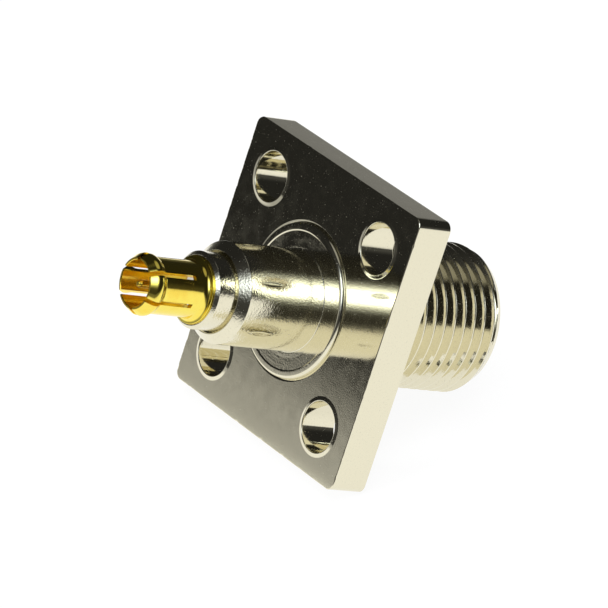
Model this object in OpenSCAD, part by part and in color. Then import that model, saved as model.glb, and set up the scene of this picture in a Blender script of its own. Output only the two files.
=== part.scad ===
// Flange-mount coaxial adapter: a threaded jack on one side of a square plate, a snap-in plug on the other.
// Millimetres. The connector axis runs along X, the jack towards +X and the plug towards -X.
// The origin is the centre of the plate's plug-side face, and the plate's edges run along Y and Z.

/* [Flange plate] */
// Side of the square plate
flange_side = 18; // [16.5:0.1:21]
// Plate thickness
flange_thick = 2.5; // [2:0.1:3.2]
// Radius of the four corners
corner_radius = 0.6; // [0.3:0.05:1]
// Screw hole diameter
hole_d = 3.2; // [2.9:0.05:3.4]
// Distance between neighbouring screw holes
hole_spacing = 11.9; // [11.6:0.05:12.4]

/* [Body shoulder] */
// Diameter of the shoulder pressed into the plate
seat_d = 9.8; // [9.6:0.05:10.2]
// Height of the raised land over the plate
land_height = 0.28; // [0.15:0.01:0.45]
// Diameter of the land's flat top, inside its rounded edge
land_d = 9.36; // [9:0.02:9.5]
// Diameter of the turned floor between the hub and the land's top
floor_d = 8.72; // [8.2:0.02:8.8]
// Depth of that floor
land_step = 0.05; // [0.02:0.01:0.1]
// Width of the slope up from that floor
land_slope = 0.06; // [0.02:0.01:0.08]
// Depth of the groove between the land and the plate
groove_depth = 0.12; // [0.06:0.01:0.2]

/* [Hub] */
// Hub diameter
hub_d = 6.4; // [6.1:0.05:7]
// Distance from the plate to the front of the hub
hub_reach = 6.5; // [6.2:0.05:7.5]
// Axial length of the bevelled hub nose
nose_length = 0.55; // [0.3:0.05:0.8]
// Radial gap between the nose lip and the sleeve
lip_gap = 0.18; // [0.1:0.01:0.22]
// Depth of that gap
lip_depth = 0.2; // [0.1:0.05:0.5]

/* [Stake marks] */
// Number of stake marks round the hub
stake_count = 6; // [3:1:8]
// Length of a stake mark
stake_length = 2.3; // [1.6:0.1:2.6]
// Width of a stake mark
stake_width = 0.62; // [0.4:0.02:0.8]
// Depth of a stake mark
stake_depth = 0.16; // [0.1:0.01:0.3]
// Distance from the plate to the middle of the stake marks
stake_middle = 4.25; // [3.6:0.05:4.5]
// Turn of the stake marks about the axis
stake_turn = 56; // [0:1:60]

/* [Threaded barrel] */
// Major diameter of the threaded barrel
barrel_d = 9.525; // [9.3:0.025:9.6]
// Length of the barrel beyond the plate
barrel_length = 10.5; // [9.5:0.1:12.5]
// Bevel on the free end of the barrel
barrel_bevel = 0.35; // [0.2:0.05:0.5]
// Diameter of the plain neck behind the thread
neck_d = 8.6; // [8.2:0.05:9]
// Length of that neck
neck_length = 0.7; // [0.4:0.05:1]
// Bore of the barrel
jack_bore_d = 7.2; // [6.6:0.05:7.4]
// Depth of that bore
jack_depth = 10; // [9:0.1:10.8]
// Lead-in bevel of that bore
jack_bevel = 0.25; // [0.1:0.05:0.35]

/* [Plug sleeve] */
// Sleeve diameter
sleeve_d = 4.85; // [4.7:0.05:5]
// Length of the sleeve standing out of the hub
sleeve_out = 1.45; // [1.1:0.05:2]
// Depth of the sleeve inside the hub
sleeve_depth = 4.5; // [4:0.1:5]
// Bevel on the sleeve's front edge
sleeve_bevel = 0.2; // [0.1:0.02:0.24]

/* [Outer contact] */
// Diameter of the contact's base collar
base_d = 4.26; // [4.1:0.02:4.34]
// Depth of that collar inside the sleeve
base_depth = 1; // [0.6:0.05:1.2]
// Height of the collar's front lip over the sleeve
base_out = 0.12; // [0.06:0.01:0.3]
// Length of the contact beyond the lip
finger_length = 4.35; // [4.1:0.05:4.8]
// Stem diameter
stem_d = 3.52; // [3.4:0.02:3.64]
// Diameter over the snap bulge
bulge_d = 3.9; // [3.76:0.02:4]
// Diameter of the mouth's outer edge
mouth_d = 3.2; // [3.06:0.02:3.4]
// Bore of the contact
contact_bore_d = 2.9; // [2.7:0.02:3]
// Length of the tapered front of the bulge
bulge_front = 0.58; // [0.4:0.02:0.8]
// Length of the bulge's crown
bulge_crown = 0.14; // [0.06:0.02:0.24]
// Length of the tapered back of the bulge
bulge_back = 0.36; // [0.2:0.02:0.5]
// Number of saw cuts across the contact, each making two slots
slot_cuts = 3; // [2:1:4]
// Slot width
slot_width = 0.3; // [0.2:0.02:0.36]
// Slot length
slot_length = 3.4; // [2.8:0.05:3.5]
// Turn of the slots about the axis
slot_turn = 47; // [0:1:60]
// Length of the flare between the stem and the collar
flare_length = 0.4; // [0.2:0.02:0.5]
// Width of the collar's flat lip round that flare
lip_width = 0.1; // [0.06:0.02:0.16]

/* [Centre contact] */
// Diameter of the plug pin
pin_d = 0.52; // [0.44:0.02:0.6]
// Distance from the mouth back to the pin's end
pin_recess = 0.2; // [0.1:0.02:0.5]
// Length of the pin's tapered end
pin_taper = 0.22; // [0.12:0.02:0.3]
// Diameter of the rod inside the plug insulator
rod_d = 0.94; // [0.84:0.02:1.1]
// Outside diameter of the jack socket
socket_d = 1.9; // [1.75:0.05:2.1]
// Bore of the jack socket
socket_bore_d = 1.1; // [1:0.02:1.16]
// Depth of that bore
socket_bore_depth = 5; // [4.4:0.1:5.6]
// Length of the cut between the socket's tines
tine_length = 4; // [3:0.1:4.2]
// Width of that cut
tine_gap = 0.26; // [0.16:0.02:0.3]

/* [Insulators] */
// Diameter of the plug insulator
insulator_d = 3.8; // [3.5:0.05:3.9]
// Length of the plug insulator inside the outer contact
insulator_nose = 0.6; // [0.3:0.05:1.5]
// Distance from the barrel's end back to the jack insulator
jack_recess = 0.6; // [0.4:0.05:1]
// Thickness of the jack insulator in front of the socket
jack_web = 0.8; // [0.6:0.05:1]
// Diameter of the lead-in cone in the jack insulator
lead_d = 2.4; // [1.9:0.05:2.8]
// Depth of that cone
lead_depth = 0.5; // [0.3:0.02:0.54]
// Radial room round the socket's tines
tine_room = 0.2; // [0.1:0.02:0.3]

/* [Hidden] */
$fn = 96;
nickel = [0.78, 0.76, 0.7];
gold = [0.86, 0.68, 0.22];
white = [0.93, 0.93, 0.9];
half = 0.5;
tiny = 0.01;
over = 1;
half_turn = 180;
full_turn = 360;
quarter_turn = 90;
edge_step = 15;
hub_r = half * hub_d;
seat_r = half * seat_d;
land_r = half * land_d;
floor_r = half * floor_d;
barrel_r = half * barrel_d;
neck_r = half * neck_d;
jack_r = half * jack_bore_d;
sleeve_r = half * sleeve_d;
base_r = half * base_d;
stem_r = half * stem_d;
bulge_r = half * bulge_d;
mouth_r = half * mouth_d;
contact_r = half * contact_bore_d;
pin_r = half * pin_d;
rod_r = half * rod_d;
socket_r = half * socket_d;
socket_bore_r = half * socket_bore_d;
insulator_r = half * insulator_d;
lead_r = half * lead_d;
lip_r = sleeve_r + lip_gap;
z_nose = -hub_reach;
z_hub_floor = sleeve_depth - hub_reach;
z_sleeve = -hub_reach - sleeve_out;
z_base_back = z_sleeve + base_depth;
z_base = z_sleeve - base_out;
z_mouth = z_base - finger_length;
z_crown = z_mouth + bulge_front;
z_crown_back = z_crown + bulge_crown;
z_bulge_end = z_crown_back + bulge_back;
z_insulator = z_base_back - insulator_nose;
z_pin = z_mouth + pin_recess;
z_barrel_end = flange_thick + barrel_length;
z_jack_floor = z_barrel_end - jack_depth;
z_jack_face = z_barrel_end - jack_recess;
z_socket = z_jack_face - jack_web;
z_socket_floor = z_socket - socket_bore_depth;
z_tine = z_socket - tine_length;
// The land's rounded edge falls from its top to the plate.
land_edge = [
  for (a = [0 : edge_step : quarter_turn])
    [land_r + (seat_r - land_r) * sin(a), -land_height * cos(a)]
];
// A V-edged wheel as wide as a stake mark at the hub's surface sinks each mark.
wheel_r = (pow(half * stake_length, 2) + pow(stake_depth, 2)) / (2 * stake_depth);
wheel_half = half * stake_width;

// Turns a piece drawn along Z so that it lies along X.
module along_x() {
  rotate([0, quarter_turn, 0])
    children();
}

// A ring or rod from a list of radius and height pairs.
module turned(points) {
  rotate_extrude()
    polygon(points);
}

module corner_posts(r, span, height) {
  for (x = [-half, half], y = [-half, half])
    translate([x * span, y * span, 0])
      cylinder(h = height, r = r);
}

module plate_blank() {
  inner = flange_side - 2 * corner_radius;
  translate([-half * flange_side, -half * inner, 0])
    cube([flange_side, inner, flange_thick]);
  translate([-half * inner, -half * flange_side, 0])
    cube([inner, flange_side, flange_thick]);
  corner_posts(corner_radius, inner, flange_thick);
}

module screw_hole() {
  translate([0, 0, -over])
    cylinder(h = flange_thick + 2 * over, d = hole_d);
}

// Square plate with screw holes and a bore eased towards the plug.
module flange_plate() {
  color(nickel)
    along_x()
      difference() {
        plate_blank();
        for (x = [-half, half], y = [-half, half])
          translate([x * hole_spacing, y * hole_spacing, 0])
            screw_hole();
        translate([0, 0, -over])
          cylinder(h = flange_thick + 2 * over, r = seat_r);
        translate([0, 0, -tiny])
          cylinder(h = groove_depth + tiny, r1 = seat_r + groove_depth + tiny, r2 = seat_r);
      }
}

module stake_wheel() {
  rotate_extrude()
    polygon([
      [0, -wheel_half],
      [wheel_r - stake_depth, -wheel_half],
      [wheel_r, 0],
      [wheel_r - stake_depth, wheel_half],
      [0, wheel_half]
    ]);
}

module stake_marks() {
  for (i = [0 : stake_count - 1])
    rotate([0, 0, stake_turn + i * full_turn / stake_count])
      translate([hub_r + wheel_r - stake_depth, 0, -stake_middle])
        rotate([quarter_turn, 0, 0])
          stake_wheel();
}

// Turned body: staked hub, raised land, pressed shoulder and threaded barrel in one piece.
module body() {
  color(nickel)
    along_x()
      difference() {
        turned([
          [sleeve_r, z_hub_floor],
          [sleeve_r, z_nose + lip_depth],
          [lip_r, z_nose],
          [hub_r, z_nose + nose_length],
          [hub_r, land_step - land_height],
          [floor_r, land_step - land_height],
          [floor_r + land_slope, -land_height],
          each land_edge,
          [seat_r, flange_thick],
          [neck_r, flange_thick],
          [neck_r, flange_thick + neck_length],
          [barrel_r, flange_thick + neck_length + barrel_r - neck_r],
          [barrel_r, z_barrel_end - barrel_bevel],
          [barrel_r - barrel_bevel, z_barrel_end],
          [jack_r + jack_bevel, z_barrel_end],
          [jack_r, z_barrel_end - jack_bevel],
          [jack_r, z_jack_floor],
          [insulator_r, z_jack_floor],
          [insulator_r, z_hub_floor]
        ]);
        stake_marks();
      }
}

// Sleeve pushed into the hub and held by the stake marks.
module plug_sleeve() {
  color(nickel)
    along_x()
      turned([
        [insulator_r, z_hub_floor],
        [sleeve_r, z_hub_floor],
        [sleeve_r, z_sleeve + sleeve_bevel],
        [sleeve_r - sleeve_bevel, z_sleeve],
        [base_r, z_sleeve],
        [base_r, z_base_back],
        [insulator_r, z_base_back]
      ]);
}

module slot_blade() {
  translate([-half * slot_width, -bulge_d, z_mouth - over])
    cube([slot_width, 2 * bulge_d, slot_length + over]);
}

// Spring-fingered outer contact with a snap bulge behind its mouth.
module outer_contact() {
  color(gold)
    along_x()
      difference() {
        turned([
          [contact_r, z_base_back],
          [base_r, z_base_back],
          [base_r, z_base],
          [base_r - lip_width, z_base],
          [stem_r, z_base - flare_length],
          [stem_r, z_bulge_end],
          [bulge_r, z_crown_back],
          [bulge_r, z_crown],
          [mouth_r, z_mouth],
          [contact_r, z_mouth]
        ]);
        for (i = [0 : slot_cuts - 1])
          rotate([0, 0, slot_turn + quarter_turn + i * half_turn / slot_cuts])
            slot_blade();
      }
}

// White insulator that carries the centre rod through the sleeve and the body.
module plug_insulator() {
  color(white)
    along_x()
      turned([
        [rod_r, z_jack_floor],
        [insulator_r, z_jack_floor],
        [insulator_r, z_base_back],
        [contact_r, z_base_back],
        [contact_r, z_insulator],
        [rod_r, z_insulator]
      ]);
}

// Centre contact: pin in the plug, rod through the insulator, split socket in the jack.
module centre_contact() {
  color(gold)
    along_x()
      difference() {
        turned([
          [0, z_pin],
          [pin_r - half * pin_taper, z_pin],
          [pin_r, z_pin + pin_taper],
          [pin_r, z_insulator],
          [rod_r, z_insulator],
          [rod_r, z_jack_floor],
          [socket_r, z_jack_floor],
          [socket_r, z_socket],
          [socket_bore_r, z_socket],
          [socket_bore_r, z_socket_floor],
          [0, z_socket_floor]
        ]);
        translate([-socket_d, -half * tine_gap, z_tine])
          cube([2 * socket_d, tine_gap, tine_length + over]);
      }
}

// White insulator that fills the barrel's bore round the socket.
module jack_insulator() {
  color(white)
    along_x()
      turned([
        [socket_r, z_jack_floor],
        [jack_r, z_jack_floor],
        [jack_r, z_jack_face],
        [lead_r, z_jack_face],
        [socket_bore_r, z_jack_face - lead_depth],
        [socket_bore_r, z_socket],
        [socket_r + tine_room, z_socket],
        [socket_r + tine_room, z_tine],
        [socket_r, z_tine]
      ]);
}

flange_plate();
body();
plug_sleeve();
outer_contact();
plug_insulator();
centre_contact();
jack_insulator();
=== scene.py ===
import math

import bmesh
import bpy
import numpy as np
from bpy.props import FloatProperty, FloatVectorProperty, IntProperty, PointerProperty
from bpy.types import Operator, Panel, PropertyGroup
from mathutils import Matrix, Vector


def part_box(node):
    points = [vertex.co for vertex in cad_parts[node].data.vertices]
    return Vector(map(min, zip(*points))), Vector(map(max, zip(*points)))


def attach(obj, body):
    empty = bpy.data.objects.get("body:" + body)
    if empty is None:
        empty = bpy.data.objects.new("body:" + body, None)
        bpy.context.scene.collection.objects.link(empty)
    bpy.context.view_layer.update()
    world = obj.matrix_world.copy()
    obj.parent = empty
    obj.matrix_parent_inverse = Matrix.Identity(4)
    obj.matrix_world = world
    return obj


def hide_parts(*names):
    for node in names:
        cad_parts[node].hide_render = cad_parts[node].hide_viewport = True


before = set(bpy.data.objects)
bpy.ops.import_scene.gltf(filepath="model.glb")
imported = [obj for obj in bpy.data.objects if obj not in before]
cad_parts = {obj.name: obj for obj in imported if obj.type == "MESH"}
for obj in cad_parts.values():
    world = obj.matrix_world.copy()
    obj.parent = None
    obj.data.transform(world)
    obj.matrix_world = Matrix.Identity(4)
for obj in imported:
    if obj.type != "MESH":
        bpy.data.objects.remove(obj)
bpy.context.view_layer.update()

bl_info = {
    "name": "Flange-mount coaxial adapter",
    "version": (1, 0, 0),
    "blender": (4, 5, 0),
    "location": "View3D > Sidebar > Adapter",
    "description": "Builds the plated pieces of a coaxial adapter and a plain studio stage round them",
    "category": "Add Mesh",
}

MM = 0.001
# Distance of the loop that keeps a flat face's shading flat beside a rounded edge
HOLD = 0.02 * MM
# Radius of the small edges on the contacts
SOFT = 0.03 * MM
# Points closer than this become one
MERGE = 0.0005 * MM
# Edges that bend by more than this stay sharp
SHARP = math.radians(40)
# Margin for rounding errors where lengths are compared
TINY = 1e-9
PLATE_LOW, PLATE_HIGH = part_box("flange_plate")
BODY_LOW, BODY_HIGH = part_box("body")
SLEEVE_LOW, SLEEVE_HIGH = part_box("plug_sleeve")
CONTACT_LOW, CONTACT_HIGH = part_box("outer_contact")
CENTRE_LOW, CENTRE_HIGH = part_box("centre_contact")
PLUG_LOW, PLUG_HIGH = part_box("plug_insulator")
JACK_LOW, JACK_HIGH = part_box("jack_insulator")


# Properties


def length(name, description, millimetres):
    """A length, given in millimetres and kept in metres."""
    return FloatProperty(
        name=name, description=description, default=millimetres * MM, unit="LENGTH", precision=6
    )


def angle(name, description, degrees):
    """An angle, given in degrees and kept in radians."""
    return FloatProperty(
        name=name, description=description, default=math.radians(degrees), subtype="ANGLE", unit="ROTATION"
    )


def count(name, description, default):
    """A number of like things."""
    return IntProperty(name=name, description=description, default=default, min=1)


def colour(name, description, default):
    """A linear colour without alpha."""
    return FloatVectorProperty(
        name=name, description=description, default=default, size=3, min=0, max=1, subtype="COLOR"
    )


class PlateSizes(PropertyGroup):
    """Sizes of the square plate."""

    side: length("Side", "Side of the square plate", (PLATE_HIGH.y - PLATE_LOW.y) / MM)
    thickness: length("Thickness", "Thickness of the plate", (PLATE_HIGH.x - PLATE_LOW.x) / MM)
    corner: length("Corner radius", "Radius of the four corners", 0.6)
    edge: length("Edge radius", "Radius of the long edges", 0.05)
    spacing: length("Hole spacing", "Distance between neighbouring screw holes", 11.9)
    hole: length("Hole radius", "Radius of a screw hole", 1.6)
    rim: length("Rim radius", "Outer radius of the raised rim round a hole", 1.87)
    rim_height: length("Rim height", "Height of that rim over the plate", 0.07)
    rim_blend: length("Rim blend", "Radius of the blend at the rim's foot", 0.25)
    nick: length("Nick depth", "Depth of the deepest nick along the front edges", 0.09)
    nick_seed: count("Nick seed", "Random seed of the first quarter's nicks", 2)
    seat: length("Seat radius", "Radius of the bore for the body", 4.9)
    bevel: length("Seat bevel", "Width of the shallow bevel round the seat", 0.15)
    bevel_depth: length("Bevel depth", "Depth of that bevel at the seat", 0.055)


class BodySizes(PropertyGroup):
    """Sizes of the turned body."""

    hub: length("Hub radius", "Radius of the hub", 3.2)
    nose: length("Nose length", "Length of the bevelled nose", 0.55)
    lip: length("Lip radius", "Radius of the lip round the sleeve", 2.605)
    lip_depth: length("Lip depth", "Depth of the gap inside the lip", 0.2)
    land: length("Land radius", "Radius of the land's flat top", 4.68)
    floor: length("Floor radius", "Radius of the turned floor inside the land's top", 4.36)
    land_height: length("Land height", "Height of the land over the plate", 0.28)
    land_step: length("Land step", "Depth of the floor inside the land's edge", 0.05)
    land_slope: length("Land slope", "Width of the slope up from that floor", 0.06)
    barrel: length("Barrel radius", "Radius over the thread", 4.7625)
    rim: length("Rim radius", "Radius of the barrel's free end", 4.43)
    neck: length("Neck length", "Length of the plain neck behind the thread", 0.7)
    bore: length("Bore radius", "Radius of the barrel's bore", 3.6)
    bore_bevel: length("Bore bevel", "Lead-in bevel of that bore", 0.25)
    edge: length("Edge radius", "Radius of the turned edges", 0.05)


class StakeSizes(PropertyGroup):
    """Sizes of the stake marks round the hub."""

    count: count("Stakes", "Number of stake marks", 6)
    length: length("Length", "Length of a mark", 1.95)
    width: length("Width", "Width of a mark", 0.4)
    depth: length("Depth", "Depth of a mark", 0.07)
    soft: length("Softness", "Half width of the round at the bottom of a mark", 0.04)
    middle: length("Middle", "Distance from the plate to the middle of the marks", 4.25)
    turn: angle("Turn", "Angle of the first mark from +Y towards +Z", -34)


class ThreadSizes(PropertyGroup):
    """Sizes of the thread on the barrel."""

    pitch: length("Pitch", "Advance in one turn", 25.4 / 32)
    depth: length("Depth", "Depth from crest to root", 0.487)
    crest: length("Crest", "Width of the flat on the crest", 0.08)
    flank: angle("Flank", "Angle of a flank from the radius", 30)
    fade: length("Fade", "Distance before the free end at which the groove has run out", 0.25)


class SleeveSizes(PropertyGroup):
    """Sizes of the plug's sleeve."""

    bevel: length("Bevel", "Bevel on the front edge", 0.2)
    edge: length("Edge radius", "Radius of the edges", 0.03)


class ContactSizes(PropertyGroup):
    """Sizes of the slotted outer contact."""

    collar_front: length("Collar front", "Distance from the mouth to the collar's front", 4.35)
    lip: length("Lip", "Width of the collar's flat lip", 0.1)
    flare: length("Flare", "Length of the hollow flare behind the stem", 0.4)
    stem: length("Stem radius", "Radius of the stem", 1.76)
    bulge: length("Bulge radius", "Radius over the snap bulge", 1.95)
    mouth: length("Mouth radius", "Outer radius of the mouth", 1.6)
    bore: length("Bore radius", "Radius of the bore", 1.45)
    front: length("Bulge front", "Length of the bulge's tapered front", 0.58)
    crown: length("Bulge crown", "Length of the bulge's crown", 0.14)
    peak: length("Bulge peak", "Height over the bulge at which its two tapers would meet", 0.1)
    bulge_round: length("Bulge round", "Radius of the round between those tapers", 0.5)
    back: length("Bulge back", "Length of the bulge's tapered back", 0.36)
    slots: count("Slots", "Number of slots", 6)
    slot_width: length("Slot width", "Width of a slot", 0.3)
    slot_length: length("Slot length", "Length of a slot", 3.4)
    slot_turn: angle("Slot turn", "Angle of the first slot from +Y towards +Z", 17)


class CentreSizes(PropertyGroup):
    """Sizes of the centre contact."""

    pin: length("Pin radius", "Radius of the plug's pin", 0.26)
    taper: length("Pin taper", "Length of the pin's tapered end", 0.22)
    rod: length("Rod radius", "Radius of the rod", 0.47)
    socket: length("Socket radius", "Outside radius of the jack's socket", 0.95)
    bore: length("Bore radius", "Radius of the socket's bore", 0.55)
    bore_depth: length("Bore depth", "Depth of that bore", 5)
    tine: length("Tine length", "Length of the cut between the tines", 4)
    tine_gap: length("Tine gap", "Width of that cut", 0.26)


class InsulatorSizes(PropertyGroup):
    """Sizes of the two white insulators."""

    web: length("Web", "Thickness of the jack insulator in front of the socket", 0.8)
    lead: length("Lead-in radius", "Radius of the lead-in cone", 1.2)
    lead_depth: length("Lead-in depth", "Depth of that cone", 0.5)
    room: length("Room", "Radial room round the socket's tines", 0.2)
    edge: length("Edge radius", "Radius of the edges", 0.06)


class FinishColours(PropertyGroup):
    """Colours of the finishes."""

    nickel: colour("Nickel", "Bright nickel plate", (0.8, 0.755, 0.575))
    speck: colour("Speck", "Dark specks in the nickel", (0.42, 0.38, 0.3))
    gold: colour("Gold", "Gold plate", (0.95, 0.78, 0.14))
    # Deeper gold for the random patches, and also a painted reflection: the orange of light bounced between
    # gold walls, tinted into the bore
    deep_gold: colour("Deep gold", "Deeper tone of the gold in patches", (0.92, 0.54, 0.03))
    white: colour("White", "White insulator", (0.9, 0.9, 0.87))
    shade: colour("Shade", "Darker tone of the insulator", (0.82, 0.81, 0.76))


class StageSizes(PropertyGroup):
    """Camera, floor and lamps."""

    azimuth: angle("Azimuth", "Turn of the camera about Z, none along +Y", -40.01)
    elevation: angle("Elevation", "Height of the camera over the horizon", 14.83)
    roll: angle("Roll", "Roll of the camera about its line of sight", 18.28)
    distance: length("Distance", "Distance from the camera to the plate", 331.1)
    aim_right: length("Aim right", "How far right of the origin the camera looks", 0.565)
    aim_down: length("Aim down", "How far under the origin the camera looks", 0.214)
    lens: FloatProperty(name="Lens", description="Focal length in millimetres", default=316.3, min=1)
    lean: angle("Lean", "Angle by which the plug is raised while plate and barrel touch the floor", 22.66)
    floor_drop: length("Floor drop", "Distance from the origin down to the floor", 9.3)
    floor: colour("Floor", "Pale floor", (0.9, 0.9, 0.9))
    key: colour("Key", "Cool daylight of the key", (0.8, 0.88, 1))


# Outlines and surfaces


def unit(rows):
    """Rows of numbers, each scaled to a length of one."""
    return rows / np.linalg.norm(rows, axis=1, keepdims=True)


def rounded(points, radii, steps=3, lead=0.015 * MM):
    """Open outline with round corners.

    Every inner corner is left on its two edges at radius / tan(half the inner angle) and bridged by an
    arc in equal steps. A point a short lead before and after each arc keeps the straight stretches flat.
    """
    corners = np.asarray(points, float)
    inner = corners[1:-1]
    radius = np.broadcast_to(np.asarray(radii, float), len(inner))[:, None]
    back = unit(corners[:-2] - inner)
    ahead = unit(corners[2:] - inner)
    half = np.arccos(np.clip(np.sum(back * ahead, axis=1, keepdims=True), -1, 1)) / 2
    reach = radius / np.tan(half)
    centre = inner + unit(back + ahead) * radius / np.sin(half)
    turn = np.pi - 2 * half
    step = np.linspace(0, 1, steps + 1)
    first = (np.sin((1 - step) * turn) / np.sin(turn))[:, :, None]
    last = (np.sin(step * turn) / np.sin(turn))[:, :, None]
    arm_back = (inner + back * reach - centre)[:, None, :]
    arm_ahead = (inner + ahead * reach - centre)[:, None, :]
    arcs = centre[:, None, :] + first * arm_back + last * arm_ahead
    before = (inner + back * (reach + lead))[:, None, :]
    after = (inner + ahead * (reach + lead))[:, None, :]
    bends = np.concatenate([before, arcs, after], axis=1).reshape(-1, 2)
    return np.vstack([corners[:1], bends, corners[-1:]])


def round_about(x, r, angles):
    """Points at distance x along the axis and r from it: (x, r cos angle, r sin angle)."""
    x, r, angles = np.broadcast_arrays(x, r, angles)
    return np.stack([x, r * np.cos(angles), r * np.sin(angles)], axis=-1)


def rows_at(outline, angles):
    """Axial places and radii of an outline's (x, r) rows at every angle."""
    return [outline[:, k, None] + 0 * angles for k in (0, 1)]


def pairs(first, second):
    """Rows of two numbers, either of which may be the same for all rows."""
    return np.stack(np.broadcast_arrays(first, second), axis=1)


def grid_faces(rows, columns, closed=True):
    """Quads between neighbouring rows, with each row closed on itself where asked."""
    spans = columns if closed else columns - 1
    i, j = np.meshgrid(np.arange(rows - 1), np.arange(spans), indexing="ij")
    k = (j + 1) % columns
    return np.stack(
        [i * columns + j, i * columns + k, (i + 1) * columns + k, (i + 1) * columns + j], axis=-1
    ).reshape(-1, 4)


def even_angles(number):
    """Equal angles round the axis."""
    return np.arange(number) * 2 * np.pi / number


def add_object(name, data):
    """New object with its data, linked into the scene."""
    holder = bpy.data.objects.new(name, data)
    bpy.context.scene.collection.objects.link(holder)
    return holder


def make_piece(node, points, faces, maker):
    """Mesh object from arrays, with doubled points merged, that stands for a CAD node."""
    name = node + "_visual"
    mesh = bpy.data.meshes.new(name)
    mesh.from_pydata(points.reshape(-1, 3), [], faces)
    work = bmesh.new()
    work.from_mesh(mesh)
    bmesh.ops.remove_doubles(work, verts=work.verts, dist=MERGE)
    work.to_mesh(mesh)
    work.free()
    mesh.shade_smooth()
    mesh.set_sharp_from_angle(angle=SHARP)
    mesh.materials.append(shared_finish(maker))
    piece = add_object(name, mesh)
    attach(piece, "root")
    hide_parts(node)


def turned_piece(node, corners, edge, maker, columns=192):
    """Surface of revolution of a closed outline, given by (x, r) corners run with x rising on the outside.

    The corners are rounded, apart from the first, which lies on a straight stretch.
    """
    outline = rounded([*corners, corners[0]], edge)
    points = round_about(outline[:, :1], outline[:, 1:], even_angles(columns))
    make_piece(node, points, grid_faces(len(outline), columns), maker)


def slotted_ring(outer, inner, slots, width, turn, reach, fine=18, ease=0.012 * MM, share=0.1):
    """Points and faces of a tube cut into fingers from its low-x end.

    Outer and inner hold like numbers of (x, r) rows from the mouth back. At radius r a slot covers the
    angle arcsin(width / 2r) to each side of its middle, a finger the rest of its sector. The last share
    of a finger is eased by a small radial drop that grows with the square of the nearness to its edge.
    """
    sector = 2 * np.pi / slots
    rows = np.vstack([outer, inner[::-1]])
    x, r = rows[:, :1], rows[:, 1:]
    gap = np.arcsin(np.clip(width / 2 / np.maximum(r, width / 2), 0, 1))
    across = np.linspace(-1, 1, fine)
    within = np.linspace(-1, 1, 5)[1:-1]
    finger = sector / 2 + across * (sector / 2 - gap)
    slit = sector + within * gap
    one = np.hstack([finger, slit])
    nearness = np.clip((np.abs(across) - (1 - share)) / share, 0, 1)
    drop = np.hstack([nearness ** 2, np.ones(len(within))]) * ease
    outward = np.where(np.arange(len(rows)) < len(outer), -1, 1)[:, None]
    cut = (x < reach).astype(float)
    angles = turn + (np.arange(slots)[:, None] * sector + one[:, None, :]).reshape(len(rows), -1)
    eased = r + np.tile(outward * drop * cut, slots)
    points = round_about(x, eased, angles)
    columns = angles.shape[1]
    per = len(one[0])
    total = len(rows)
    quads = grid_faces(total + 1, columns) % (total * columns)
    middle_x = x.ravel()[quads // columns].mean(axis=1)
    in_slit = (quads[:, 0] % columns) % per >= fine - 1
    on_axis = np.all(eased.ravel()[quads] < TINY, axis=1)
    quads = quads[~(in_slit & (middle_x < reach)) & ~on_axis]
    deep = np.flatnonzero(outer[:, 0] <= reach + TINY)
    first = np.arange(slots) * per
    last = first + fine - 1
    out = deep[:, None] * columns
    into = (total - 1 - deep)[:, None] * columns
    after = np.stack([out[:-1] + last, into[:-1] + last, into[1:] + last, out[1:] + last], axis=-1)
    before = np.stack([out[:-1] + first, out[1:] + first, into[1:] + first, into[:-1] + first], axis=-1)
    here = (last[:, None] + np.arange(per - fine + 1)).ravel()
    beside = (here + 1) % columns
    floors = np.stack([out[-1] + here, into[-1] + here, into[-1] + beside, out[-1] + beside], axis=-1)
    return points, np.vstack([quads, after.reshape(-1, 4), before.reshape(-1, 4), floors])


# Materials


def add_nodes(tree, kinds):
    """New nodes of the given kinds, in order."""
    return [tree.nodes.new("ShaderNode" + kind) for kind in kinds]


def math_node(tree, operation, first, second):
    """Math node on two inputs, each a socket or a number."""
    node = tree.nodes.new("ShaderNodeMath")
    node.operation = operation
    for socket, source in zip(node.inputs, (first, second)):
        if isinstance(source, (int, float)):
            socket.default_value = source
        else:
            tree.links.new(source, socket)
    return node.outputs[0]


def smooth_range(tree, source, start, end, low, high):
    """Value that runs smoothly from low at start to high at end of the source."""
    node = tree.nodes.new("ShaderNodeMapRange")
    node.interpolation_type = "SMOOTHSTEP"
    tree.links.new(source, node.inputs["Value"])
    for socket, value in zip(("From Min", "From Max", "To Min", "To Max"), (start, end, low, high)):
        node.inputs[socket].default_value = value
    return node.outputs["Result"]


def new_material(name, base, metallic):
    """Node material with a principled shader in one base colour, returned with its tree and shader."""
    material = bpy.data.materials.new(name)
    material.use_nodes = True
    tree = material.node_tree
    shader = tree.nodes["Principled BSDF"]
    shader.inputs["Base Color"].default_value = (*base, 1)
    shader.inputs["Metallic"].default_value = metallic
    return material, tree, shader


def bare_material(name):
    """Node material that has no nodes yet, returned with its tree."""
    material = bpy.data.materials.new(name)
    material.use_nodes = True
    material.node_tree.nodes.clear()
    return material, material.node_tree


def noise(tree, vector, scale, detail):
    """Value of a cloud noise at the given places."""
    node = tree.nodes.new("ShaderNodeTexNoise")
    node.inputs["Scale"].default_value = scale
    node.inputs["Detail"].default_value = detail
    tree.links.new(vector, node.inputs["Vector"])
    return node.outputs["Fac"]


def places(tree):
    """Places on the object, in its own metres."""
    return tree.nodes.new("ShaderNodeTexCoord").outputs["Object"]


def axis_distance(tree):
    """Distance of a place from the connector's axis."""
    flat, span = add_nodes(tree, ("VectorMath", "VectorMath"))
    flat.operation = "MULTIPLY"
    flat.inputs[1].default_value = (0, 1, 1)
    span.operation = "LENGTH"
    tree.links.new(places(tree), flat.inputs[0])
    tree.links.new(flat.outputs["Vector"], span.inputs[0])
    return span.outputs["Value"]


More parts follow.
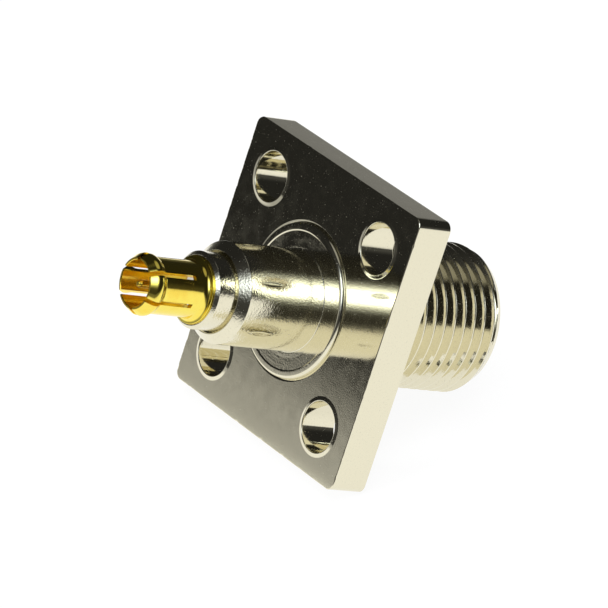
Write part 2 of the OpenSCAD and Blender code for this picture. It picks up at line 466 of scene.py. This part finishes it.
def tool_rings(tree, fine, coarse):
    """Noise that runs round the axis: fine along the profile, coarse round it.

    The first coordinate is the distance along the axis plus most of the distance from it, so that flat
    faces get rings as well as cylinders.
    """
    split, join = add_nodes(tree, ("SeparateXYZ", "CombineXYZ"))
    tree.links.new(places(tree), split.inputs[0])
    for axis in "YZ":
        tree.links.new(math_node(tree, "MULTIPLY", split.outputs[axis], coarse), join.inputs[axis])
    outward = math_node(tree, "MULTIPLY", axis_distance(tree), 0.8)
    profile = math_node(tree, "ADD", split.outputs["X"], outward)
    tree.links.new(math_node(tree, "MULTIPLY", profile, fine), join.inputs["X"])
    return noise(tree, join.outputs[0], 1, 2)


def raise_bumps(tree, shader, layers):
    """Bumps of the given heights, with their depths in metres, one on the other on a shader's normal."""
    normal = None
    for height, depth in layers:
        bump = tree.nodes.new("ShaderNodeBump")
        bump.inputs["Distance"].default_value = depth
        tree.links.new(height, bump.inputs["Height"])
        if normal:
            tree.links.new(normal, bump.inputs["Normal"])
        normal = bump.outputs["Normal"]
    tree.links.new(normal, shader.inputs["Normal"])


def tint(tree, shader, share, first, second):
    """Base colour that runs from the first colour to the second with the share."""
    mix = tree.nodes.new("ShaderNodeMix")
    mix.data_type = "RGBA"
    mix.inputs["A"].default_value = (*first, 1)
    mix.inputs["B"].default_value = (*second, 1)
    tree.links.new(share, mix.inputs["Factor"])
    tree.links.new(mix.outputs["Result"], shader.inputs["Base Color"])


def nickel_coat(name, colours, clouds, haziest, dullest, darkest):
    """Bright nickel with soft clouds of haze, fine dull specks and fine dark specks.

    Returned with its tree, its shader and the places on the object.
    """
    material, tree, shader = new_material(name, colours.nickel, 1)
    spot = places(tree)
    haze = smooth_range(tree, noise(tree, spot, clouds, 3), 0.35, 0.7, 0.05, haziest)
    grit = noise(tree, spot, 9000, 2)
    dull = smooth_range(tree, grit, 0.22, 0.36, dullest, 0)
    tree.links.new(math_node(tree, "ADD", haze, dull), shader.inputs["Roughness"])
    specks = smooth_range(tree, grit, 0.55, 0.8, 0, darkest)
    tint(tree, shader, specks, colours.nickel, colours.speck)
    return material, tree, shader, spot


def plate_nickel(colours):
    """Bright nickel on a pressed plate: faintly uneven, with a fine grain."""
    material, tree, shader, spot = nickel_coat(
        "plate_nickel", colours, clouds=1100, haziest=0.09, dullest=0.32, darkest=0.2
    )
    dents, grain = noise(tree, spot, 900, 2), noise(tree, spot, 11000, 2)
    raise_bumps(tree, shader, ((dents, 1.2e-6), (grain, 9e-7)))
    return material


def turned_nickel(colours):
    """Bright nickel on turned brass: fine rings from the tool and a grain on the hub."""
    material, tree, shader, spot = nickel_coat(
        "turned_nickel", colours, clouds=1500, haziest=0.14, dullest=0.42, darkest=0.25
    )
    rings = tool_rings(tree, 8000, 700)
    rough = smooth_range(tree, axis_distance(tree), 3.3 * MM, 3.6 * MM, 1, 0.2)
    grain = math_node(tree, "MULTIPLY", noise(tree, spot, 8000, 2), rough)
    raise_bumps(tree, shader, ((rings, 1.5e-6), (grain, 1e-5)))
    return material


def turned_gold(colours):
    """Gold plate on a turned contact: tool rings, a deeper tone in patches, and a duller bore tinted with
    painted orange for light bounced between its gold walls.
    """
    material, tree, shader = new_material("turned_gold", colours.gold, 1)
    spot = places(tree)
    haze = smooth_range(tree, noise(tree, spot, 1800, 2), 0.3, 0.7, 0.05, 0.12)
    # Painted reflection: within 1.52 mm of the axis, fading out by 1.68 mm, the gold is tinted half way to
    # the deeper orange of light bounced between gold walls. This covers the bore and the whole centre
    # contact, which is also made duller there.
    inside = smooth_range(tree, axis_distance(tree), 1.52 * MM, 1.68 * MM, 1, 0)
    dull = math_node(tree, "MULTIPLY", inside, 0.12)
    deep = math_node(tree, "MULTIPLY", inside, 0.5)
    tree.links.new(math_node(tree, "ADD", haze, dull), shader.inputs["Roughness"])
    patches = smooth_range(tree, noise(tree, spot, 900, 2), 0.4, 0.8, 0, 0.4)
    tint(tree, shader, math_node(tree, "MAXIMUM", patches, deep), colours.gold, colours.deep_gold)
    rings, dents = tool_rings(tree, 9000, 900), noise(tree, spot, 2600, 2)
    raise_bumps(tree, shader, ((rings, 8e-7), (dents, 1.2e-6)))
    return material


def insulator_white(colours):
    """Smooth white plastic with a faintly uneven tone and sheen."""
    material, tree, shader = new_material("insulator_white", colours.white, 0)
    spot = places(tree)
    tint(tree, shader, noise(tree, spot, 700, 3), colours.white, colours.shade)
    sheen = smooth_range(tree, noise(tree, spot, 1600, 2), 0.3, 0.7, 0.34, 0.46)
    tree.links.new(sheen, shader.inputs["Roughness"])
    raise_bumps(tree, shader, ((tool_rings(tree, 5000, 600), 1.5e-6),))
    return material


def shared_finish(maker):
    """The finish of that maker, made once and shared."""
    return bpy.data.materials.get(maker.__name__) or maker(bpy.context.scene.adapter_colours)


# Shapes


def plate_outline(plate, inset):
    """Quarter outline of the plate in (y, z), with the rows where its edge and bore begin or end.

    It runs from the bore along z = 0 to the edge, up the edge, round the corner arc, along the top edge,
    down y = 0 to the bore and back along the bore's arc.
    """
    near = plate.seat + plate.bevel
    far = plate.side / 2 - inset
    bend = plate.corner - inset
    ray = np.linspace(near, far, 8)
    ray = np.insert(ray, [1, len(ray) - 1], [near + HOLD, far - HOLD])
    up = np.linspace(0, far - bend, 64)
    arc = np.linspace(0, np.pi / 2, 13)
    bore = np.linspace(np.pi / 2, 0, 33)
    stretches = [
        pairs(ray, 0)[:-1],
        pairs(far, up)[:-1],
        far - bend + bend * pairs(np.cos(arc), np.sin(arc)),
        pairs(up[::-1], far)[1:],
        pairs(0, ray[::-1])[1:],
        near * pairs(np.cos(bore), np.sin(bore))[1:-1],
    ]
    start = len(ray) - 1
    stop = start + 2 * (len(up) - 1) + len(arc)
    return np.vstack(stretches), start, stop, stop + len(ray) - 2


def edge_radii(plate, number, seed, threshold=0.6):
    """Radius of the front edge at each outline point: the plain radius, with short random nicks.

    Random heights are averaged over three neighbours. What rises over the threshold makes a nick, and the
    nicks end before both ends of the stretch.
    """
    heights = np.random.default_rng(seed).random(number + 2)
    mean = (heights[:-2] + heights[1:-1] + heights[2:]) / 3
    place = np.arange(number)
    within = np.clip(np.minimum(place, number - 1 - place) / 3, 0, 1)
    return plate.edge + plate.nick * within * np.clip((mean - threshold) / (1 - threshold), 0, 1)


def with_depth(depth, loops):
    """Places (x, y, z) from rows of (y, z) loops and their depths x."""
    return np.concatenate([np.broadcast_to(depth, loops.shape[:2] + (1,)), loops], axis=2)


def plate_quarter(plate, seed):
    """Points and faces of a quarter of the plate.

    Loops round the screw hole run from the back face through the hole to the front face. Each loop's
    points lie on the rays from the hole's middle to the quarter's outline. A skirt closes the outer edge
    with a quarter round at front and back, another closes the bore behind its bevel.
    """
    outer, *_ = plate_outline(plate, 0)
    back, start, stop, arc_start = plate_outline(plate, plate.edge)
    outward = (outer - back)[start:stop] / plate.edge
    radii = edge_radii(plate, stop - start, seed)[:, None]
    front = back.copy()
    front[start:stop] = outer[start:stop] - outward * radii
    number = len(front)
    middle = np.full(2, plate.spacing / 2)
    rays = unit(front - middle)
    in_bore = np.arange(number) >= arc_start
    in_bore[0] = True
    back[in_bore] *= plate.seat / np.linalg.norm(front[in_bore], axis=1, keepdims=True)
    beyond_rim = plate.rim + 0.2 * MM
    corners = [
        (plate.thickness, plate.rim),
        (plate.thickness, plate.hole),
        (-plate.rim_height, plate.hole),
        (0, plate.rim),
        (0, beyond_rim),
    ]
    section = rounded(corners, [plate.edge / 2, plate.edge, plate.rim_blend])
    inside = middle + section[:, None, 1:] * rays
    # Shares of the way from the outline to the hole at which a face has its loops
    shares = np.array([0.0, 0.008, 0.08, 0.5, 0.96])[:, None, None]
    back_face = back + shares * (inside[0] - back)
    front_face = inside[-1] + (1 - shares[::-1]) * (front - inside[-1])
    loops = np.concatenate([back_face, inside, front_face, front[None]])
    flat = len(shares)
    depth = np.concatenate([np.full(flat, plate.thickness), section[:, 0], np.zeros(flat + 1)])
    points = with_depth(depth[:, None, None], loops)
    faces = grid_faces(len(loops), number)
    bend = np.linspace(0, np.pi / 2, 6)[:, None, None]
    front_round = front[start:stop] + np.sin(bend) * outward * radii
    back_round = back[start:stop] + np.sin(bend[::-1]) * outward * plate.edge
    front_depth = (1 - np.cos(bend)) * radii
    back_depth = plate.thickness - (1 - np.cos(bend[::-1])) * plate.edge
    skirt = np.concatenate(
        [
            with_depth(front_depth, front_round),
            with_depth(front_depth[-1:] + HOLD, front_round[-1:]),
            with_depth(back_depth[:1] - HOLD, back_round[:1]),
            with_depth(back_depth, back_round),
        ]
    )
    bore_index = np.append(np.arange(arc_start, number), 0)
    wall = np.stack([front[bore_index], back[bore_index], back[bore_index]])
    wall_depth = np.array([0, plate.bevel_depth, plate.thickness])
    bore = with_depth(wall_depth[:, None, None], wall)
    skirt_faces = grid_faces(len(skirt), skirt.shape[1], closed=False) + points.size // 3
    bore_faces = grid_faces(len(bore), bore.shape[1], closed=False) + (points.size + skirt.size) // 3
    everything = np.vstack([points.reshape(-1, 3), skirt.reshape(-1, 3), bore.reshape(-1, 3)])
    return everything, np.vstack([faces, skirt_faces, bore_faces])


def stake_angles(stakes, hub, fine=22, coarse=14, margin=1.15):
    """Angles round the hub, close together across every stake mark and wide apart between them."""
    sector = 2 * np.pi / stakes.count
    half = margin * stakes.width / (2 * hub)
    near = np.linspace(-half, half, fine, endpoint=False)
    wide = np.linspace(half, sector - half, coarse, endpoint=False)
    return stakes.turn + (np.arange(stakes.count)[:, None] * sector + np.append(near, wide)).ravel()


def staked_radius(x, r, angles, hub, stakes):
    """Radius of the hub with its stake marks.

    A wheel with a softened V edge, whose middle lies outside the hub, cuts each mark: at distance t across
    and s along it, its floor is centre - sqrt((wheel - depth sqrt(t^2 + soft^2) / half width)^2 - s^2).
    """
    wheel = ((stakes.length / 2) ** 2 + stakes.depth ** 2) / (2 * stakes.depth)
    sector = 2 * np.pi / stakes.count
    turn = (angles - stakes.turn + sector / 2) % sector - sector / 2
    across = r * np.sin(turn)
    along = x + stakes.middle
    soft = np.sqrt(across ** 2 + stakes.soft ** 2)
    edge = wheel - stakes.depth * soft / (stakes.width / 2)
    square = edge ** 2 - along ** 2
    floor = hub + wheel - stakes.depth - np.sqrt(np.maximum(square, 0))
    height = r * np.cos(turn)
    on_hub = np.abs(r - hub) < 0.001 * MM
    return np.where((square > 0) & (floor < height) & on_hub, np.hypot(floor, across), r)


def thread_rows(body, thread, start, end, angles):
    """Axial places and radii of the thread's rows.

    A row follows the helix x = place + pitch * angle / full turn, so crest and root keep their own rows.
    Places are held between start and end. The radius is the least of the thread's own section, the run-out
    cone at the start and the chamfer at the end, and the groove fades out before the end.
    """
    half_pitch = thread.pitch / 2
    advance = thread.pitch * angles / (2 * np.pi)
    foot = thread.crest / 2 + thread.depth * math.tan(thread.flank)
    crest_round, root_round = 0.012 * MM, 0.03 * MM
    chamfer_slope = 0.55
    corners = [(0, 0), (thread.crest / 2, 0), (foot, thread.depth), (half_pitch, thread.depth)]
    section = rounded(corners, [crest_round, root_round], steps=2, lead=0.01 * MM)
    one_turn = np.vstack([section[:0:-1] * (-1, 1), section[:-1]])
    turns = np.arange(math.floor((start - thread.pitch) / thread.pitch), math.ceil(end / thread.pitch) + 1)
    at_zero = (turns[:, None] * thread.pitch + one_turn[:, 0]).ravel()
    drop = np.tile(one_turn[:, 1], len(turns))
    helix = at_zero[:, None] + advance
    x = np.clip(helix, start, end)
    offset = (x - advance + half_pitch) % thread.pitch - half_pitch
    held = np.interp(np.abs(offset), section[:, 0], section[:, 1])
    drop = np.where(x == helix, drop[:, None], held)
    fade = np.clip((end - thread.fade - x) / half_pitch, 0, 1)
    drop = drop * fade * fade * (3 - 2 * fade)
    root = body.barrel - thread.depth
    chamfer = body.rim + (end - x) * chamfer_slope
    return x, np.minimum.reduce([body.barrel - drop, root + (x - start), chamfer])


# Operators


class ADAPTER_OT_flange_plate(Operator):
    """Builds the square plate from four turned quarters"""

    bl_idname = "adapter.flange_plate"
    bl_label = "Flange plate"

    def execute(self, context):
        plate = context.scene.adapter_plate
        quarter = np.array([[1, 0, 0], [0, 0, 1], [0, -1, 0]], float)
        copies, quads = [], []
        for n in range(4):
            points, faces = plate_quarter(plate, plate.nick_seed + n)
            copies.append(points @ np.linalg.matrix_power(quarter, n))
            quads.append(faces + n * len(points))
        copies, quads = np.vstack(copies), np.vstack(quads)
        make_piece("flange_plate", copies, quads, plate_nickel)
        return {"FINISHED"}


class ADAPTER_OT_body(Operator):
    """Builds the turned body with its stake marks and thread"""

    bl_idname = "adapter.body"
    bl_label = "Body"

    def execute(self, context):
        scene = context.scene
        body, stakes, thread = scene.adapter_body, scene.adapter_stakes, scene.adapter_thread
        plate = scene.adapter_plate
        front, end = BODY_LOW.x, BODY_HIGH.x
        back = plate.thickness
        root = body.barrel - thread.depth
        sleeve = SLEEVE_HIGH.y
        marked, beyond = 0.54 * stakes.length, 0.55 * stakes.length
        slope_edge = 0.02 * MM
        nose = [
            (SLEEVE_HIGH.x, sleeve),
            (front + body.lip_depth, sleeve),
            (front, body.lip),
            (front + body.nose, body.hub),
            (-stakes.middle - beyond, body.hub),
        ]
        hub = pairs(np.linspace(-stakes.middle - marked, -stakes.middle + marked, 40), body.hub)
        floor = body.land_step - body.land_height
        turn = np.linspace(0, np.pi / 2, 12)
        crown = pairs(
            -body.land_height * np.cos(turn), body.land + (plate.seat - body.land) * np.sin(turn)
        )
        land = [
            (-stakes.middle + beyond, body.hub),
            (floor, body.hub),
            (floor, body.floor),
            (-body.land_height, body.floor + body.land_slope),
            crown[0],
        ]
        neck = [(back / 2, plate.seat), (back, plate.seat), (back, root), (back + body.neck, root)]
        nose, neck = rounded(nose, body.edge), rounded(neck, body.edge)
        land = rounded(land, [body.edge, slope_edge, slope_edge])
        angles = stake_angles(stakes, body.hub)
        x, r = rows_at(np.vstack([nose, hub, land, crown[1:], neck]), angles)
        r = staked_radius(x, r, angles, body.hub, stakes)
        thread_x, thread_r = thread_rows(body, thread, back + body.neck, end, angles)
        inner = [
            (end, body.rim),
            (end, body.bore + body.bore_bevel),
            (end - body.bore_bevel, body.bore),
            (JACK_LOW.x, body.bore),
            (JACK_LOW.x, PLUG_HIGH.y),
            (SLEEVE_HIGH.x, PLUG_HIGH.y),
            (SLEEVE_HIGH.x, sleeve),
        ]
        inner_x, inner_r = rows_at(rounded(inner, body.edge), angles)
        rows_x = np.vstack([x, thread_x, inner_x])
        rows_r = np.vstack([r, thread_r, inner_r])
        points = round_about(rows_x, rows_r, angles)
        faces = grid_faces(len(rows_x), len(angles))
        make_piece("body", points, faces, turned_nickel)
        return {"FINISHED"}


class ADAPTER_OT_plug_sleeve(Operator):
    """Builds the plug's sleeve"""

    bl_idname = "adapter.plug_sleeve"
    bl_label = "Plug sleeve"

    def execute(self, context):
        sleeve = context.scene.adapter_sleeve
        outside, inside = SLEEVE_HIGH.y, PLUG_HIGH.y
        collar = CONTACT_HIGH.y
        corners = [
            ((CONTACT_HIGH.x + SLEEVE_HIGH.x) / 2, inside),
            (CONTACT_HIGH.x, inside),
            (CONTACT_HIGH.x, collar),
            (SLEEVE_LOW.x, collar),
            (SLEEVE_LOW.x, outside - sleeve.bevel),
            (SLEEVE_LOW.x + sleeve.bevel, outside),
            (SLEEVE_HIGH.x, outside),
            (SLEEVE_HIGH.x, inside),
        ]
        turned_piece("plug_sleeve", corners, sleeve.edge, turned_nickel)
        return {"FINISHED"}


class ADAPTER_OT_outer_contact(Operator):
    """Builds the slotted outer contact with its snap bulge"""

    bl_idname = "adapter.outer_contact"
    bl_label = "Outer contact"

    def execute(self, context):
        contact = context.scene.adapter_contact
        mouth, back = CONTACT_LOW.x, CONTACT_HIGH.x
        collar, collar_front = CONTACT_HIGH.y, mouth + contact.collar_front
        crown = mouth + contact.front
        reach = mouth + contact.slot_length
        fingers = [
            (mouth, (contact.mouth + contact.bore) / 2),
            (mouth, contact.mouth),
            (crown + contact.crown / 2, contact.bulge + contact.peak),
            (crown + contact.crown + contact.back, contact.stem),
            (reach, contact.stem),
        ]
        fingers = rounded(fingers, [SOFT, contact.bulge_round, contact.bulge_round / 2], steps=8)
        sweep = np.linspace(0, np.pi / 2, 12)
        rise = collar - contact.lip - contact.stem
        flare = pairs(
            collar_front - contact.flare * (1 - np.sin(sweep)), contact.stem + rise * (1 - np.cos(sweep))
        )
        base = [flare[-1], (collar_front, collar), (back, collar), (back, contact.bore + SOFT)]
        outer = np.vstack([fingers, flare, rounded(base, SOFT)[1:]])
        inner = pairs(np.maximum(outer[:, 0], mouth + SOFT), contact.bore)
        inner[0] = (mouth, contact.bore + SOFT)
        points, faces = slotted_ring(
            outer, inner, contact.slots, contact.slot_width, contact.slot_turn, reach
        )
        make_piece("outer_contact", points, faces, turned_gold)
        return {"FINISHED"}


class ADAPTER_OT_plug_insulator(Operator):
    """Builds the white insulator round the centre rod"""

    bl_idname = "adapter.plug_insulator"
    bl_label = "Plug insulator"

    def execute(self, context):
        scene = context.scene
        bore, rod = scene.adapter_contact.bore, scene.adapter_centre.rod
        edge = scene.adapter_insulators.edge
        outside = PLUG_HIGH.y
        corners = [
            ((PLUG_LOW.x + PLUG_HIGH.x) / 2, rod),
            (PLUG_LOW.x, rod),
            (PLUG_LOW.x, bore),
            (CONTACT_HIGH.x, bore),
            (CONTACT_HIGH.x, outside),
            (PLUG_HIGH.x, outside),
            (PLUG_HIGH.x, rod),
        ]
        turned_piece("plug_insulator", corners, edge, insulator_white, columns=128)
        return {"FINISHED"}


class ADAPTER_OT_centre_contact(Operator):
    """Builds the centre contact with its pin, rod and split socket"""

    bl_idname = "adapter.centre_contact"
    bl_label = "Centre contact"

    def execute(self, context):
        centre = context.scene.adapter_centre
        tip, mouth = CENTRE_LOW.x, CENTRE_HIGH.x
        reach = mouth - centre.tine
        wall_middle = (centre.socket + centre.bore) / 2
        tines = rounded([(mouth, wall_middle), (mouth, centre.socket), (reach, centre.socket)], SOFT)
        rest = [
            (reach, centre.socket),
            (JACK_LOW.x, centre.socket),
            (JACK_LOW.x, centre.rod),
            (PLUG_LOW.x, centre.rod),
            (PLUG_LOW.x, centre.pin),
            (tip + centre.taper, centre.pin),
            (tip, centre.pin - centre.taper / 2),
            (tip, 0),
        ]
        outer = np.vstack([tines, rounded(rest, SOFT)[1:]])
        floor = mouth - centre.bore_depth
        inner = pairs(np.maximum(outer[:, 0], floor), centre.bore)
        inner[-1, 1] = 0
        inner[0] = (mouth, centre.bore + SOFT)
        inner[1:, 0] = np.minimum(inner[1:, 0], mouth - SOFT)
        outer, inner = outer * (-1, 1), inner * (-1, 1)
        points, faces = slotted_ring(outer, inner, 2, centre.tine_gap, 0, -reach, fine=24)
        points[..., 0] *= -1
        make_piece("centre_contact", points, faces[:, ::-1], turned_gold)
        return {"FINISHED"}


class ADAPTER_OT_jack_insulator(Operator):
    """Builds the white insulator in the barrel"""

    bl_idname = "adapter.jack_insulator"
    bl_label = "Jack insulator"

    def execute(self, context):
        scene = context.scene
        sizes, centre, body = scene.adapter_insulators, scene.adapter_centre, scene.adapter_body
        face, back = JACK_HIGH.x, JACK_LOW.x
        socket_end = face - sizes.web
        tine_end = socket_end - centre.tine
        corners = [
            ((back + tine_end) / 2, centre.socket),
            (back, centre.socket),
            (back, body.bore),
            (face, body.bore),
            (face, sizes.lead),
            (face - sizes.lead_depth, centre.bore),
            (socket_end, centre.bore),
            (socket_end, centre.socket + sizes.room),
            (tine_end, centre.socket + sizes.room),
            (tine_end, centre.socket),
        ]
        turned_piece("jack_insulator", corners, sizes.edge, insulator_white, columns=128)
        return {"FINISHED"}


class ADAPTER_OT_stage(Operator):
    """Builds the pale floor, the lamps and the camera"""

    bl_idname = "adapter.stage"
    bl_label = "Stage"

    def execute(self, context):
        scene, stage = context.scene, context.scene.adapter_stage
        scene.view_settings.view_transform = "Standard"
        add_camera(scene, stage)
        add_floor(stage)
        add_softbox("top_softbox", floor_axes(stage)[2], distance=0.8, size=1, energy=10)
        add_softbox("plug_softbox", (-1, 0, 0), distance=0.3, size=0.1, energy=0.75)
        add_key_light(stage)
        set_world(scene, stage)
        return {"FINISHED"}


# Stage

# Where the floor's mirrored light fades: axis, two places on it in metres and the light at both
FLOOR_FADES = (
    ("X", -0.06, -0.02, 0.34, 1),
    ("X", 0.05, 0.5, 1, 0.42),
    ("Y", -0.1, -0.02, 0.4, 1),
    ("Y", -0.078, -0.058, 0.15, 1),
    ("Y", 0.08, 0.3, 1, 0.18),
)


def placed(axes, place):
    """Matrix that puts an object at a place, with its own axes along three directions."""
    return Matrix.Translation(place) @ Matrix(axes).transposed().to_4x4()


def view_axes(stage):
    """Right, up and back directions of the camera in the object's frame."""
    flat = math.cos(stage.elevation)
    back = Vector(
        (math.sin(stage.azimuth) * flat, -math.cos(stage.azimuth) * flat, math.sin(stage.elevation))
    )
    level = Vector((math.cos(stage.azimuth), math.sin(stage.azimuth), 0))
    steep = back.cross(level)
    right = level * math.cos(stage.roll) + steep * math.sin(stage.roll)
    return right, back.cross(right), back


def add_camera(scene, stage):
    """Camera at the photograph's viewing angle."""
    right, up, back = view_axes(stage)
    camera = add_object("camera", bpy.data.cameras.new("camera"))
    camera.data.lens = stage.lens
    camera.data.clip_start, camera.data.clip_end = 0.01, 10
    place = right * stage.aim_right - up * stage.aim_down + back * stage.distance
    camera.matrix_world = placed((right, up, back), place)
    scene.camera = camera


def floor_axes(stage):
    """Directions across the view, away from the camera and up from the floor.

    The adapter leans on the plate's lower edge and the barrel's end, so the floor's upward direction is
    turned from +Z towards -X.
    """
    up = Vector((-math.sin(stage.lean), 0, math.cos(stage.lean)))
    back = view_axes(stage)[2]
    away = (up * back.dot(up) - back).normalized()
    return away.cross(up), away, up


def floor_material(stage):
    """Pale paper, white to the camera, that fades with distance where metal mirrors it.

    Mirrored light falls off sideways, behind the object and soonest towards the camera. The rest is a
    plain diffuse surface that takes the object's shadow, and the underside lets light through.
    """
    glow_share = 0.93
    material, tree = bare_material("pale_floor")
    output, diffuse, glow, path = add_nodes(tree, ("OutputMaterial", "BsdfDiffuse", "Emission", "LightPath"))
    clear, side, split = add_nodes(tree, ("BsdfTransparent", "NewGeometry", "SeparateXYZ"))
    mix, turned = add_nodes(tree, ("MixShader", "MixShader"))
    diffuse.inputs["Color"].default_value = (*stage.floor, 1)
    tree.links.new(places(tree), split.inputs[0])
    mirrored = 1
    for axis, *fade in FLOOR_FADES:
        mirrored = math_node(tree, "MULTIPLY", mirrored, smooth_range(tree, split.outputs[axis], *fade))
    camera = path.outputs["Is Camera Ray"]
    tree.links.new(math_node(tree, "MAXIMUM", mirrored, camera), glow.inputs["Strength"])
    seen = math_node(tree, "MAXIMUM", camera, path.outputs["Is Glossy Ray"])
    seen = math_node(tree, "MAXIMUM", seen, path.outputs["Is Transmission Ray"])
    tree.links.new(math_node(tree, "MULTIPLY", seen, glow_share), mix.inputs["Fac"])
    tree.links.new(diffuse.outputs[0], mix.inputs[1])
    tree.links.new(glow.outputs[0], mix.inputs[2])
    tree.links.new(side.outputs["Backfacing"], turned.inputs["Fac"])
    tree.links.new(mix.outputs[0], turned.inputs[1])
    tree.links.new(clear.outputs[0], turned.inputs[2])
    tree.links.new(turned.outputs[0], output.inputs["Surface"])
    return material


def add_floor(stage):
    """Pale floor under the leaning adapter."""
    half = 3
    mesh = bpy.data.meshes.new("floor")
    corners = [(-half, -half, 0), (half, -half, 0), (half, half, 0), (-half, half, 0)]
    mesh.from_pydata(corners, [], [(0, 1, 2, 3)])
    mesh.materials.append(floor_material(stage))
    floor = add_object("floor", mesh)
    axes = floor_axes(stage)
    floor.matrix_world = placed(axes, -axes[2] * stage.floor_drop)


def facing(holder, towards, distance):
    """Sets a lamp at a distance along a direction, turned to the object and upright."""
    direction = Vector(towards).normalized()
    holder.location = direction * distance
    holder.rotation_mode = "QUATERNION"
    holder.rotation_quaternion = direction.to_track_quat("Z", "Y")


def add_softbox(name, towards, distance, size, energy):
    """Square lamp along a direction, which metal doesn't mirror."""
    lamp = bpy.data.lights.new(name, "AREA")
    lamp.shape = "SQUARE"
    lamp.size = size
    lamp.energy = energy
    holder = add_object(name, lamp)
    facing(holder, towards, distance)
    holder.visible_camera = False
    holder.visible_glossy = False


def add_key_light(stage):
    """Round soft light beside the camera, whose glow falls off like a bell curve from its middle."""
    towards, distance = (-0.62, -0.57, 0.54), 0.5
    radius, spread, strength = 0.5, 0.13, 6
    angles = even_angles(48)
    rim = np.stack([np.cos(angles), np.sin(angles), 0 * angles], axis=1) * radius
    mesh = bpy.data.meshes.new("key_softbox")
    mesh.from_pydata(rim, [], [tuple(range(len(rim)))])
    material, tree = bare_material("key_softbox")
    output, glow, span, clear, both = add_nodes(
        tree, ("OutputMaterial", "Emission", "VectorMath", "BsdfTransparent", "AddShader")
    )
    span.operation = "DOT_PRODUCT"
    spot = places(tree)
    for socket in span.inputs[:2]:
        tree.links.new(spot, socket)
    glow.inputs["Color"].default_value = (*stage.key, 1)
    fall = math_node(tree, "MULTIPLY", span.outputs["Value"], -1 / spread ** 2)
    bell = math_node(tree, "POWER", math.e, fall)
    tree.links.new(math_node(tree, "MULTIPLY", bell, strength), glow.inputs["Strength"])
    tree.links.new(glow.outputs[0], both.inputs[0])
    tree.links.new(clear.outputs[0], both.inputs[1])
    tree.links.new(both.outputs[0], output.inputs["Surface"])
    mesh.materials.append(material)
    key = add_object("key_softbox", mesh)
    facing(key, towards, distance)
    key.visible_camera = False
    key.visible_shadow = False


def sight_range(tree, sight, direction, *ends):
    """Value that follows the sight line's share along a direction, with the ends of smooth_range."""
    node = tree.nodes.new("ShaderNodeVectorMath")
    node.operation = "DOT_PRODUCT"
    node.inputs[1].default_value = direction
    tree.links.new(sight, node.inputs[0])
    return smooth_range(tree, node.outputs["Value"], *ends)


def set_world(scene, stage):
    """Dim room, white to the camera, with a glow beyond the jack and two pale panels.

    One panel is before the plug, the other overhead.
    """
    jack_side, plug, overhead = (0.94, 0.34, 0), (-1, 0, 0), (0, 0, 1)
    world = bpy.data.worlds.new("room")
    scene.world = world
    world.use_nodes = True
    tree = world.node_tree
    background = tree.nodes["Background"]
    place, path = add_nodes(tree, ("TexCoord", "LightPath"))
    sight = place.outputs["Generated"]
    low = sight_range(tree, sight, floor_axes(stage)[2], 0, 0.26, 1, 0)
    beyond = sight_range(tree, sight, jack_side, -0.1, 0.9, 0, 0.12)
    before = sight_range(tree, sight, jack_side, -0.9, -0.3, 0.05, 0.02)
    room = math_node(tree, "ADD", math_node(tree, "MULTIPLY", low, beyond), before)
    for panel in (plug, overhead):
        room = math_node(tree, "ADD", room, sight_range(tree, sight, panel, 0.92, 0.98, 0, 0.35))
    seen = math_node(tree, "MAXIMUM", room, path.outputs["Is Camera Ray"])
    background.inputs["Color"].default_value = (1, 1, 1, 1)
    tree.links.new(seen, background.inputs["Strength"])


# Panel and registration

BUILD_ORDER = (
    ADAPTER_OT_flange_plate,
    ADAPTER_OT_body,
    ADAPTER_OT_plug_sleeve,
    ADAPTER_OT_outer_contact,
    ADAPTER_OT_plug_insulator,
    ADAPTER_OT_centre_contact,
    ADAPTER_OT_jack_insulator,
    ADAPTER_OT_stage,
)

GROUPS = {
    "adapter_plate": PlateSizes,
    "adapter_body": BodySizes,
    "adapter_stakes": StakeSizes,
    "adapter_thread": ThreadSizes,
    "adapter_sleeve": SleeveSizes,
    "adapter_contact": ContactSizes,
    "adapter_centre": CentreSizes,
    "adapter_insulators": InsulatorSizes,
    "adapter_colours": FinishColours,
    "adapter_stage": StageSizes,
}


class ADAPTER_PT_sidebar(Panel):
    """Lists the adapter's sizes and the steps that build it"""

    bl_idname = "ADAPTER_PT_sidebar"
    bl_label = "Coaxial adapter"
    bl_space_type = "VIEW_3D"
    bl_region_type = "UI"
    bl_category = "Adapter"

    def draw(self, context):
        for name, group in GROUPS.items():
            box = self.layout.box()
            box.label(text=group.__doc__)
            for field in group.__annotations__:
                box.prop(getattr(context.scene, name), field)
        for step in BUILD_ORDER:
            self.layout.operator(step.bl_idname)


def register():
    """Registers the classes and hangs the property groups on the scene."""
    for item in (*GROUPS.values(), *BUILD_ORDER, ADAPTER_PT_sidebar):
        bpy.utils.register_class(item)
    for name, group in GROUPS.items():
        setattr(bpy.types.Scene, name, PointerProperty(type=group))


def unregister():
    """Takes the property groups and classes away again."""
    for name in GROUPS:
        delattr(bpy.types.Scene, name)
    for item in (ADAPTER_PT_sidebar, *reversed(BUILD_ORDER), *reversed(list(GROUPS.values()))):
        bpy.utils.unregister_class(item)


def main():
    register()
    for step in BUILD_ORDER:
        group, name = step.bl_idname.split(".")
        getattr(getattr(bpy.ops, group), name)()


if __name__ == "__main__":
    main()
